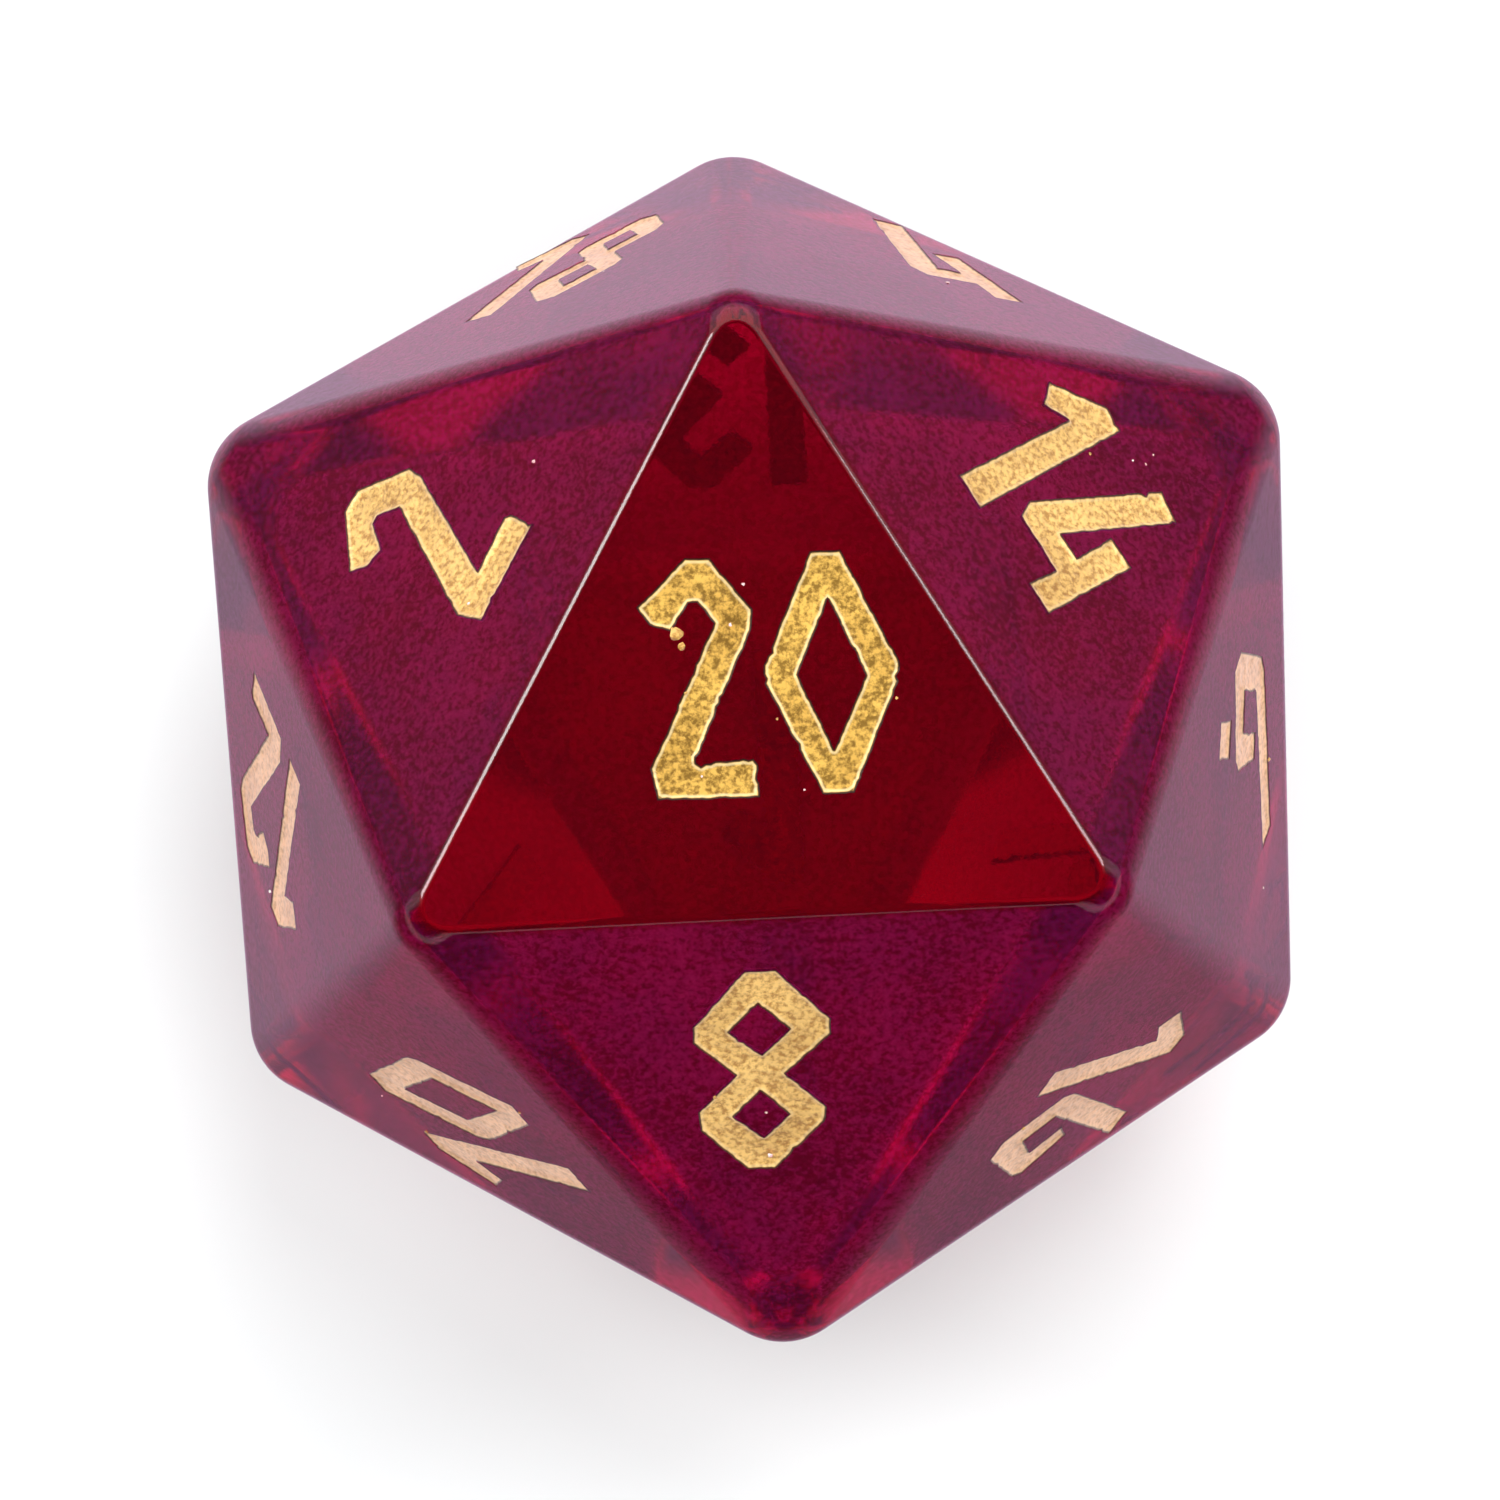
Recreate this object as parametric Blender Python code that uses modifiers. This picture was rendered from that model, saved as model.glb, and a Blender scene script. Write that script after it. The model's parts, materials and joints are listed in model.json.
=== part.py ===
"""Twenty-sided die of ruby glass with engraved numerals filled with gold paint.

Metres, +Z up. The die rests on the face numbered 1. The face numbered 20 is on
top and reads upright along +Y. The row's origin is the middle of the resting face.

The glass is one solid with a pocket for every digit. Each digit's paint is its own
solid, sunk slightly below its face so that no paint touches the table.
"""

import math

import bmesh
import bpy
from mathutils import Matrix, Vector

MM = 0.001
GOLDEN = (1 + math.sqrt(5)) / 2

# Glass body, in millimetres.
FACE_TO_FACE = 20.0
SOFT_EDGE = 0.57  # how far the rounding of an edge runs over each face
TOP_EDGE = 0.13  # the same for the three edges of the top face, which is polished last
EDGE_SEGMENTS = 6

# Engraving and paint, in millimetres.
ENGRAVING_DEPTH = 0.4
PAINT_RECESS = 0.05
PAINT_GAP = 0.02
DIGIT_GAP = 0.36
DOT_SIDE = 0.68
DOT_ACROSS = 0.3  # middle of the dot past the right side of its digit
DOT_ABOVE_BASE = 0.58
SMALLEST_MERGE = 0.0001
SHARP_ANGLE = math.radians(25)

RUBY = (0.42, 0.004, 0.03, 1.0)
GOLD = (0.80, 0.56, 0.17, 1.0)

# Digit outlines in millimetres, with the baseline at y = 0 and the left side at x = 0.
# The first loop is the outside of the stroke and any others are counters.
SIX = [
    (1.45, 4.4), (2.05, 4.35), (0.62, 1.42), (1.18, 0.78), (1.75, 1.42), (1.18, 2.02),
    (1.5, 2.38), (2.4, 1.75), (2.4, 1.45), (1.45, 0), (0.95, 0), (0, 1.15), (0, 1.5),
]
SIX_WIDTH, SIX_HEIGHT = 2.4, 4.4
DIGITS = {
    "0": [
        [(0.93, 4.4), (1.45, 4.4), (2.42, 2.32), (2.4, 1.98), (1.5, 0), (0.95, 0),
         (0, 2.05), (0, 2.38)],
        [(1.2, 3.62), (1.86, 2.1), (1.18, 0.7), (0.55, 2.18)],
    ],
    "1": [
        [(0, 3.45), (0.95, 4.4), (1.43, 4.35), (1.4, 0), (0.72, 0), (0.82, 3.4),
         (0.3, 3.02)],
    ],
    "2": [
        [(0, 3.55), (0.9, 4.38), (1.32, 4.36), (2.05, 3.42), (2, 3.05), (0.87, 0.62),
         (1.95, 0.65), (2.02, 0.55), (2.02, 0), (0.2, 0.03), (0.1, 0.58), (1.4, 3.2),
         (1.08, 3.62), (0.9, 3.62), (0.55, 3.12), (0.2, 3.25)],
    ],
    "3": [
        [(0, 3.5), (0.85, 4.4), (1.3, 4.4), (2.1, 3.5), (2.1, 3.15), (1.35, 2.3),
         (2.15, 1.4), (2.15, 1.05), (1.3, 0), (0.85, 0), (0, 0.9), (0.4, 1.3),
         (1.08, 0.65), (1.5, 1.25), (0.6, 2.3), (1.45, 3.3), (1.08, 3.75), (0.42, 3.1)],
    ],
    "4": [
        [(1.08, 4.4), (1.7, 4.27), (0.77, 1.4), (1.38, 1.4), (1.37, 2.5), (2, 2.52),
         (1.95, 0), (1.33, 0), (1.37, 0.8), (0.15, 0.82), (0, 1.2)],
    ],
    "5": [
        [(0.4, 4.4), (2, 4.4), (2, 3.8), (0.95, 3.8), (0.87, 2.85), (2.15, 1.6),
         (2.15, 1.2), (1.2, 0), (0.75, 0), (0, 0.8), (0.4, 1.2), (0.98, 0.65),
         (1.5, 1.35), (0.25, 2.65)],
    ],
    "6": [SIX],
    "7": [
        [(0, 4.4), (2.1, 4.4), (2.15, 3.95), (0.95, 0), (0.3, 0), (1.4, 3.8), (0.05, 3.8)],
    ],
    "8": [
        [(1.03, 4.4), (1.47, 4.38), (2.21, 3.47), (2.23, 3.07), (1.56, 2.27), (2.25, 1.5),
         (2.23, 1.15), (1.34, 0), (0.85, 0), (0, 1.1), (0, 1.42), (0.8, 2.27),
         (0.13, 3.07), (0.18, 3.38)],
        [(1.18, 3.74), (1.7, 3.2), (1.2, 2.6), (0.7, 3.2)],
        [(1.14, 1.87), (1.7, 1.3), (1.16, 0.66), (0.62, 1.29)],
    ],
    "9": [[(SIX_WIDTH - x, SIX_HEIGHT - y) for x, y in SIX]],
}

# The faces of the upper half: numeral, then corners, of which the numeral's top points
# to the first. The opposite face holds 21 less the numeral.
UPPER_FACES = {
    20: ("T90", "T210", "T330"),
    2: ("U150", "T90", "T210"),
    8: ("U270", "T210", "T330"),
    14: ("U30", "T90", "T330"),
    18: ("L90", "T90", "U150"),
    4: ("L90", "T90", "U30"),
    12: ("L210", "T210", "U150"),
    10: ("L210", "T210", "U270"),
    16: ("L330", "T330", "U270"),
    6: ("L330", "T330", "U30"),
}
# Numerals are cut by hand, so each sits a little differently on its face:
# size against the outlines, middle to the right of the face's, baseline above it (mm).
PLACES = {
    20: (1.0, 0.33, -1.63), 2: (1.08, 0.1, -1.86), 8: (1.12, 0.15, -2.44),
    14: (1.0, -0.44, -1.4), 18: (0.92, -0.7, -0.45), 4: (1.0, 1.15, -0.75),
    12: (0.98, 0.38, -1.72), 10: (1.04, -0.2, -2.0), 16: (1.0, 0.3, -1.4),
    6: (1.02, -1.2, -1.75),
}
USUAL_PLACE = {1: (1.08, 0.0, -1.9), 2: (1.0, 0.0, -1.7)}  # by count of digits
GAPS = {20: 0.22}
WITH_DOT = (6, 9)


# ---------------------------------------------------------------- icosahedron

def corner_points():
    """The twelve sharp corners about the die's middle, named by ring and angle."""
    ring = FACE_TO_FACE / GOLDEN**2
    top = FACE_TO_FACE / 2
    rings = {
        "T": (ring, top, (90, 210, 330)),
        "U": (GOLDEN * ring, top - ring, (30, 150, 270)),
        "L": (GOLDEN * ring, ring - top, (90, 210, 330)),
        "B": (ring, -top, (30, 150, 270)),
    }
    corners = {}
    for name, (radius, height, angles) in rings.items():
        for degrees in angles:
            turn = math.radians(degrees)
            place = (radius * math.cos(turn), radius * math.sin(turn), height)
            corners[f"{name}{degrees}"] = Vector(place)
    return corners


def face_frames(corners):
    """For each numeral, the matrix from its face's own plane to the die's frame."""
    frames = {}
    for numeral, names in UPPER_FACES.items():
        for number, side in ((numeral, 1), (21 - numeral, -1)):
            points = [corners[name] * side for name in names]
            middle = sum(points, Vector()) / 3
            normal = middle.normalized()
            up = (points[0] - middle).normalized()
            right = up.cross(normal)
            frame = Matrix((right, up, normal)).transposed().to_4x4()
            frame.translation = middle
            frames[number] = frame
    return frames


def body_mesh(corners):
    """A sharp icosahedron with one face on top and one of its corners towards +Y."""
    work = bmesh.new()
    bmesh.ops.create_icosphere(work, subdivisions=1, radius=corners["T90"].length)
    work.faces.ensure_lookup_table()
    face = work.faces[0]
    middle = face.calc_center_median()
    up = (face.verts[0].co - middle).normalized()
    normal = face.normal.normalized()
    turn = Matrix((up.cross(normal), up, normal)).to_4x4()
    bmesh.ops.transform(work, matrix=Matrix.Scale(MM, 4) @ turn, verts=work.verts)
    weight = work.edges.layers.float.new("bevel_weight_edge")
    top = 0.49 * FACE_TO_FACE * MM
    for edge in work.edges:
        on_top = all(vert.co.z > top for vert in edge.verts)
        edge[weight] = TOP_EDGE / SOFT_EDGE if on_top else 1.0
    mesh = bpy.data.meshes.new("glass_body")
    work.to_mesh(mesh)
    work.free()
    return mesh


def round_off(body):
    """Polishing: soft edges and corners, with crisper edges round the top face."""
    polish = body.modifiers.new("Round edges", "BEVEL")
    polish.limit_method = "WEIGHT"
    polish.width = SOFT_EDGE * MM
    polish.segments = EDGE_SEGMENTS


# ------------------------------------------------------------------- numerals

def signed_area(loop):
    return sum(
        a[0] * b[1] - b[0] * a[1] for a, b in zip(loop, loop[1:] + loop[:1], strict=True)
    ) / 2


def shrunk(loop, by, is_counter):
    """The loop with every side moved towards the stroke, corners kept sharp."""
    if (signed_area(loop) > 0) == is_counter:
        loop = loop[::-1]
    result = []
    for i, point in enumerate(loop):
        before = Vector(loop[i - 1])
        here = Vector(point)
        after = Vector(loop[(i + 1) % len(loop)])
        first = (here - before).normalized()
        second = (after - here).normalized()
        mitre = Vector((-first.y - second.y, first.x + second.x)) / (1 + first.dot(second))
        result.append(tuple(here + mitre * by))
    return result


def outline_curve(name, loops, thickness):
    """A flat filled curve in millimetres, centred on its own plane."""
    data = bpy.data.curves.new(name, "CURVE")
    data.dimensions = "2D"
    data.fill_mode = "BOTH"
    data.extrude = thickness / 2
    for loop in loops:
        spline = data.splines.new("POLY")
        spline.points.add(len(loop) - 1)
        for point, (x, y) in zip(spline.points, loop, strict=True):
            point.co = (x, y, 0, 1)
        spline.use_cyclic_u = True
    return data


def outline_solid(name, loops, thickness, collection):
    """A closed prism of the outline, as a mesh object in metres."""
    curve = bpy.data.objects.new(name + "_outline", outline_curve(name, loops, thickness))
    collection.objects.link(curve)
    graph = bpy.context.evaluated_depsgraph_get()
    mesh = bpy.data.meshes.new_from_object(curve.evaluated_get(graph))
    bpy.data.objects.remove(curve)
    work = bmesh.new()
    work.from_mesh(mesh)
    bmesh.ops.remove_doubles(work, verts=work.verts, dist=SMALLEST_MERGE)
    bmesh.ops.recalc_face_normals(work, faces=work.faces)
    work.to_mesh(mesh)
    work.free()
    mesh.transform(Matrix.Scale(MM, 4))
    solid = bpy.data.objects.new(name, mesh)
    collection.objects.link(solid)
    return solid


def placed_loops(numeral):
    """(node name, loops) for each digit and dot of a numeral, in its face's plane."""
    text = str(numeral)
    size, middle, base = PLACES.get(numeral, USUAL_PLACE[len(text)])
    gap = GAPS.get(numeral, DIGIT_GAP)
    widths = [max(x for x, _ in DIGITS[digit][0]) * size for digit in text]
    left = middle - (sum(widths) + gap * (len(text) - 1)) / 2
    names = ("tens", "ones") if len(text) == 2 else ("",)
    placed = []
    for digit, width, place in zip(text, widths, names, strict=True):
        loops = [[(left + x * size, base + y * size) for x, y in loop]
                 for loop in DIGITS[digit]]
        placed.append((f"numeral_{numeral:02d}_{place}".rstrip("_"), loops))
        left += width + gap
    if numeral in WITH_DOT:
        across = left - gap + DOT_ACROSS
        above = base + DOT_ABOVE_BASE
        half = DOT_SIDE / math.sqrt(2)
        diamond = [(across - half, above), (across, above + half),
                   (across + half, above), (across, above - half)]
        placed.append((f"numeral_{numeral:02d}_dot", [diamond]))
    return placed


# ------------------------------------------------------------------ materials

def principled(name, colour, **values):
    material = bpy.data.materials.new(name)
    material.use_nodes = True
    shader = material.node_tree.nodes["Principled BSDF"]
    shader.inputs["Base Color"].default_value = colour
    for socket, value in values.items():
        shader.inputs[socket.replace("_", " ")].default_value = value
    material.diffuse_color = colour
    return material


# ------------------------------------------------------------------- assembly

def new_collection(name):
    collection = bpy.data.collections.new(name)
    bpy.context.scene.collection.children.link(collection)
    return collection


def place(solid, parent, frame, depth):
    """Sets a solid on a face, with its middle this far below the face's plane."""
    sunk = frame @ Matrix.Translation((0, 0, -depth))
    sunk.translation *= MM
    solid.parent = parent
    solid.matrix_local = sunk


def shade(body):
    """Smooth shading that stops at every crease, so that the flats stay flat."""
    body.data.shade_smooth()
    creases = body.modifiers.new("Creases", "EDGE_SPLIT")
    creases.split_angle = SHARP_ANGLE
    body.modifiers.new("Weighted Normal", "WEIGHTED_NORMAL")


def build():
    for old in list(bpy.data.objects):
        bpy.data.objects.remove(old, do_unlink=True)
    parts = new_collection("twenty_sided_die")
    cutters = new_collection("engraving_cutters")

    corners = corner_points()
    frames = face_frames(corners)

    body = bpy.data.objects.new("glass_body", body_mesh(corners))
    body.location = (0, 0, FACE_TO_FACE / 2 * MM)
    body.data.materials.append(
        principled("ruby_glass", RUBY, Roughness=0.03, IOR=1.5, Transmission_Weight=1.0)
    )
    parts.objects.link(body)
    round_off(body)

    paint_thickness = ENGRAVING_DEPTH - PAINT_GAP - PAINT_RECESS
    paint_depth = PAINT_RECESS + paint_thickness / 2
    for numeral in sorted(frames):
        for name, loops in placed_loops(numeral):
            cutter = outline_solid(name + "_cutter", loops, 2 * ENGRAVING_DEPTH, cutters)
            cutter.hide_render = True
            cutter.display_type = "WIRE"
            place(cutter, body, frames[numeral], 0)

            inner = [shrunk(loop, PAINT_GAP, i > 0) for i, loop in enumerate(loops)]
            paint = outline_solid(name, inner, paint_thickness, parts)
            paint.data.materials.append(
                principled(name + "_gold_paint", GOLD, Metallic=0.9, Roughness=0.38)
            )
            place(paint, body, frames[numeral], paint_depth)

    engraving = body.modifiers.new("Engraving", "BOOLEAN")
    engraving.operation = "DIFFERENCE"
    engraving.solver = "EXACT"
    engraving.operand_type = "COLLECTION"
    engraving.collection = cutters
    shade(body)


build()
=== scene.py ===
"""Twenty-sided die of ruby glass with gold-filled numerals: the visual model, floor, light and camera."""

import itertools
import json
import math
import random

import bmesh
import bpy
import numpy as np
from mathutils import Matrix, Vector, geometry, noise

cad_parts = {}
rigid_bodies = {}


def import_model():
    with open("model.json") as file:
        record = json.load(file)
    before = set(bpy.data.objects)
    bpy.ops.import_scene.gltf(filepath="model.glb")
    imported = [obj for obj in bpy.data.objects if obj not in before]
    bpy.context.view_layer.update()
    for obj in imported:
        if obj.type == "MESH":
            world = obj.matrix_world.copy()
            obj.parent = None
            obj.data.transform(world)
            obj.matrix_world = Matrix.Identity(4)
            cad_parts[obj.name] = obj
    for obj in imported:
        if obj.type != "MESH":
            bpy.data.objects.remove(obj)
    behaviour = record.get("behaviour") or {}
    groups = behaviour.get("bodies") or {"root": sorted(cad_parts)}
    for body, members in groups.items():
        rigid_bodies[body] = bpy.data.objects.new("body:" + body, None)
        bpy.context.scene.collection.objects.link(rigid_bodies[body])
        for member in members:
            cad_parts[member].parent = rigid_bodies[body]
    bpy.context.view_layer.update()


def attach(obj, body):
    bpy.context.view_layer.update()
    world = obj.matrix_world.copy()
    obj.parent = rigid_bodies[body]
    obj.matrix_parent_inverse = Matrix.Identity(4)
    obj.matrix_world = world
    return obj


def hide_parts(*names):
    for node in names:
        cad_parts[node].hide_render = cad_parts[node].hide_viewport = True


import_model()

MM = 0.001
GOLDEN = (1 + math.sqrt(5)) / 2
RNG = random.Random(2031)

# Glass body, in millimetres.
FACE_TO_FACE = 20.0
EDGE_RADIUS = 1.49  # of the tumbled edges and corners
TOP_EDGE_RADIUS = 0.34  # of the three edges of the face that was polished last
EDGE_SEGMENTS = 10
CORNER_RINGS = 7
TOP_EDGE_CUTS = 5
TOP_CORNER_RADIUS = 0.95  # of the ridges that run down from that face's corners
TOP_CORNER_STEPS = 8
ASLANT = (0.31, 0.52, 0.79)  # a direction that is parallel to no face's normal
SAME_PLANE = math.radians(0.3)  # facets that differ by less than this become one

# Engraving and paint, in millimetres.
ENGRAVING_DEPTH = 0.15
DIGIT_GAP = 0.36
DOT_SIDE = 0.68
DOT_ACROSS = 0.3  # middle of the dot past the right side of its digit
DOT_ABOVE_BASE = 0.58
SHARPEST_MITRE = 0.35  # keeps the corners of a narrowed outline from shooting out
OUTLINE_STEP = 0.09
OUTLINE_WANDER = 0.022
WAVES, RIPPLES, NICKS = 4.5, 13, 7  # how many of each come in a millimetre or so of outline
RIPPLE_SHARE = 0.6
NICK_DEPTH, NICK_LEVEL, NICK_RANGE = 0.06, 0.42, 0.3
CORNER_SHARE = 0.4  # the corners of an outline wander less than its sides
OUTLINE_MARGIN = 0.03  # a dark line of painted shade this wide, standing in for the shade at the groove's edge, runs round each stroke
PAINT_OVERLAP = 0.006  # the paint reaches this far into the glass, so no air is seen between them
PAINT_STEP = 0.085
PAINT_JITTER = 0.3  # share of a step by which the points of the paint's surface stray
PAINT_RIM = 0.012  # depth of the paint at the edge of its stroke
PAINT_SUNK = 0.06
PAINT_UNDERSIDE = 0.01 - ENGRAVING_DEPTH  # just above the groove's floor
PAINT_CREASE = 0.9  # edges sharper than this many radians aren't shaded smooth
RIM_WIDTH = 0.13
EDGE_LINE = 0.04  # a row of points this far in carries the painted shade outline
EDGE_LINE_CLEAR = 0.03
UNDERSIDE_PAINTED_SHADE = 0.043  # the paint's underside is as dark as the paint this far from its edge, where the painted shade line fades
PEBBLE = 0.016
PEBBLES, SMALL_PEBBLES = 5.5, 12  # how many come in a millimetre or so
SMALL_PEBBLE_SHARE = 0.7
# Where the paint carries a painted shade line and where a painted highlight brightens its crest, by
# distance from its edge.
PAINTED_SHADE_STOPS = (0.030, 0.048)
PAINTED_HIGHLIGHT_STOPS = (0.036, 0.056, 0.072, 0.112)

# Glass: its colour comes from the depth of glass that light passes.
GLASS_COLOUR = (0.912, 0.04, 0.61, 1)
GLASS_DENSITY = 260.0
GLASS_CLEARNESS = 0.938  # the rest is the haze of a finely tumbled surface
POLISHED_FROM, POLISHED_TO = 0.01985, 0.01997  # heights in metres between which the polish begins
TUMBLED_ROUGHNESS, POLISHED_ROUGHNESS = 0.10, 0.03
CREASE = math.radians(45)  # edges sharper than this aren't shaded smooth

# Dust and flakes, in millimetres, or as shares of a flake's size.
SPECK_HEIGHTS = (-2.6, 3.6)  # above the middle of the face
SPECK_SIZES = (0.05, 0.11)
SPECKS_END = 3.82  # height above the middle of the face at which the spread shrinks to nothing
SPECKS_SPREAD = 0.577 * 0.8  # for each millimetre below that
HANGING_FLAKES = ((20, -1.36, 1.40, 0.34), (20, -1.27, 1.17, 0.20))  # under the hook of the 2
FLAKE_DISTANCES = (0.03, 0.10)
FLAKE_SIZES = (0.06, 0.12)
SHARD_CORNERS = 9
SHARD_JITTER = 0.3
SHARD_REACHES = (0.25, 0.55)
SHARD_HEIGHTS = (-0.2, 0.35)

# Floor, lamps and camera, in metres and radians.
FLOOR_HALF_SIDE = 1.5
FLOOR_DROP = 0.00002  # keeps the paper clear of the die's lowest face
CAMERA_LENS = 135.17
CAMERA_SHIFT = (-0.0048, -0.0094)
CAMERA_DISTANCE = 0.113
CAMERA_LEAN = (0.0535, 0.0042)
CAMERA_ROLL = -0.0484
LAMP_DISTANCE = 0.5

# Digit outlines in millimetres, with the baseline at y = 0 and the left side at x = 0.
# The first loop is the outside of the stroke and any others are counters.
SIX = [
    (1.45, 4.4), (2.05, 4.35), (0.62, 1.42), (1.18, 0.78), (1.75, 1.42), (1.18, 2.02),
    (1.5, 2.38), (2.4, 1.75), (2.4, 1.45), (1.45, 0), (0.95, 0), (0, 1.15), (0, 1.5),
]
SIX_WIDTH, SIX_HEIGHT = 2.4, 4.4
DIGITS = {
    "0": [
        [(0.93, 4.4), (1.45, 4.4), (2.42, 2.32), (2.4, 1.98), (1.5, 0), (0.95, 0),
         (0, 2.05), (0, 2.38)],
        [(1.2, 3.62), (1.86, 2.1), (1.18, 0.7), (0.55, 2.18)],
    ],
    "1": [
        [(0, 3.45), (0.95, 4.4), (1.43, 4.35), (1.4, 0), (0.72, 0), (0.82, 3.4),
         (0.3, 3.02)],
    ],
    "2": [
        [(0, 3.55), (0.9, 4.38), (1.32, 4.36), (2.05, 3.42), (2, 3.05), (0.87, 0.62),
         (1.95, 0.65), (2.02, 0.55), (2.02, 0), (0.2, 0.03), (0.1, 0.58), (1.4, 3.2),
         (1.08, 3.62), (0.9, 3.62), (0.55, 3.12), (0.2, 3.25)],
    ],
    "3": [
        [(0, 3.5), (0.85, 4.4), (1.3, 4.4), (2.1, 3.5), (2.1, 3.15), (1.35, 2.3),
         (2.15, 1.4), (2.15, 1.05), (1.3, 0), (0.85, 0), (0, 0.9), (0.4, 1.3),
         (1.08, 0.65), (1.5, 1.25), (0.6, 2.3), (1.45, 3.3), (1.08, 3.75), (0.42, 3.1)],
    ],
    "4": [
        [(1.08, 4.4), (1.7, 4.27), (0.77, 1.4), (1.38, 1.4), (1.37, 2.5), (2, 2.52),
         (1.95, 0), (1.33, 0), (1.37, 0.8), (0.15, 0.82), (0, 1.2)],
    ],
    "5": [
        [(0.4, 4.4), (2, 4.4), (2, 3.8), (0.95, 3.8), (0.87, 2.85), (2.15, 1.6),
         (2.15, 1.2), (1.2, 0), (0.75, 0), (0, 0.8), (0.4, 1.2), (0.98, 0.65),
         (1.5, 1.35), (0.25, 2.65)],
    ],
    "6": [SIX],
    "7": [
        [(0, 4.4), (2.1, 4.4), (2.15, 3.95), (0.95, 0), (0.3, 0), (1.4, 3.8), (0.05, 3.8)],
    ],
    "8": [
        [(1.03, 4.4), (1.47, 4.38), (2.21, 3.47), (2.23, 3.07), (1.56, 2.27), (2.25, 1.5),
         (2.23, 1.15), (1.34, 0), (0.85, 0), (0, 1.1), (0, 1.42), (0.8, 2.27),
         (0.13, 3.07), (0.18, 3.38)],
        [(1.18, 3.74), (1.7, 3.2), (1.2, 2.6), (0.7, 3.2)],
        [(1.14, 1.87), (1.7, 1.3), (1.16, 0.66), (0.62, 1.29)],
    ],
    "9": [[(SIX_WIDTH - x, SIX_HEIGHT - y) for x, y in SIX]],
}
# The faces of the upper half: numeral, then corners, of which the numeral's top points to the first.
UPPER_FACES = {
    20: ("T90", "T210", "T330"),
    2: ("U150", "T90", "T210"),
    8: ("U270", "T210", "T330"),
    14: ("U30", "T90", "T330"),
    18: ("L90", "T90", "U150"),
    4: ("L90", "T90", "U30"),
    12: ("L210", "T210", "U150"),
    10: ("L210", "T210", "U270"),
    16: ("L330", "T330", "U270"),
    6: ("L330", "T330", "U30"),
}
# Size of the digits, middle of the numeral and its baseline, from the middle of its face.
PLACES = {
    20: (1.0, 0.33, -1.63), 2: (1.08, 0.1, -1.86), 8: (1.12, 0.15, -2.44),
    14: (1.0, -0.44, -1.4), 18: (0.92, -0.7, -0.45), 4: (1.0, 1.15, -0.75),
    12: (0.98, 0.38, -1.72), 10: (1.04, -0.2, -2.0), 16: (1.0, 0.3, -1.4),
    6: (1.02, -1.2, -1.75),
}
USUAL_PLACE = {1: (1.08, 0.0, -1.9), 2: (1.0, 0.0, -1.7)}  # by the number of digits
GAPS = {20: 0.22}
WITH_DOT = (6, 9)

CENTRE = Vector((0, 0, FACE_TO_FACE / 2))
MIDDLE = Vector((0, 0, FACE_TO_FACE / 2 * MM))  # the same point in metres


# ---------------------------------------------------------------- icosahedron

def corner_points():
    """The twelve corners about the centre, with the face numbered 20 level on top (mm)."""
    ring = FACE_TO_FACE / GOLDEN**2
    top = FACE_TO_FACE / 2
    rings = {
        "T": (ring, top, (90, 210, 330)),
        "U": (GOLDEN * ring, top - ring, (30, 150, 270)),
        "L": (GOLDEN * ring, ring - top, (90, 210, 330)),
        "B": (ring, -top, (30, 150, 270)),
    }
    corners = {}
    for name, (radius, height, angles) in rings.items():
        for degrees in angles:
            turn = math.radians(degrees)
            place = (radius * math.cos(turn), radius * math.sin(turn), height)
            corners[f"{name}{degrees}"] = Vector(place)
    return corners


def face_frames(corners):
    """For each numeral, the matrix from its face's own plane to the row's frame (mm)."""
    frames = {}
    for numeral, names in UPPER_FACES.items():
        for number, side in ((numeral, 1), (21 - numeral, -1)):
            points = [corners[name] * side for name in names]
            middle = sum(points, Vector()) / 3
            normal = middle.normalized()
            up = (points[0] - middle).normalized()
            matrix = Matrix((up.cross(normal), up, normal)).transposed().to_4x4()
            matrix.translation = middle + CENTRE
            frames[number] = matrix
    return frames


CORNERS = corner_points()
FRAMES = face_frames(CORNERS)


def new_object(name, mesh):
    """An object in the scene, from a mesh, lamp or camera."""
    made = bpy.data.objects.new(name, mesh)
    bpy.context.scene.collection.objects.link(made)
    return made


def evaluated_mesh(obj):
    """The object's mesh with its modifiers applied."""
    graph = bpy.context.evaluated_depsgraph_get()
    return bpy.data.meshes.new_from_object(obj.evaluated_get(graph))


def turned(start, end, share):
    """The direction this share of the way round from one direction to another."""
    angle = math.acos(max(-1.0, min(1.0, float(start @ end))))
    if angle < 1e-9:
        return start
    parts = math.sin((1 - share) * angle), math.sin(share * angle)
    return (parts[0] * start + parts[1] * end) / math.sin(angle)


def inner_corners(normals, distance):
    """Corners of the solid behind planes this far out, each with the planes that meet there."""
    found = {}
    for trio in itertools.combinations(range(len(normals)), 3):
        rows = normals[list(trio)]
        if abs(np.linalg.det(rows)) > 1e-6:
            point = np.linalg.solve(rows, np.full(3, distance))
            if (normals @ point).max() < distance + 1e-6:
                found[tuple(np.round(point, 4))] = point
    return [(p, normals[np.abs(normals @ p - distance) < 1e-5]) for p in found.values()]


def rounding_points(corner, normals, radius):
    """Points of the ball about a corner that lie between its planes."""
    axis = normals.sum(axis=0)
    axis /= np.linalg.norm(axis)
    side = np.cross(axis, ASLANT)
    side /= np.linalg.norm(side)
    other = np.cross(axis, side)
    order = sorted(range(len(normals)),
                   key=lambda i: math.atan2(normals[i] @ other, normals[i] @ side))
    points = [corner + radius * axis]
    for k, i in enumerate(order):
        after = order[(k + 1) % len(order)]
        for step in range(EDGE_SEGMENTS):
            rim = turned(normals[i], normals[after], step / EDGE_SEGMENTS)
            points += [corner + radius * turned(axis, rim, ring / CORNER_RINGS)
                       for ring in range(1, CORNER_RINGS + 1)]
    return points


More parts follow.
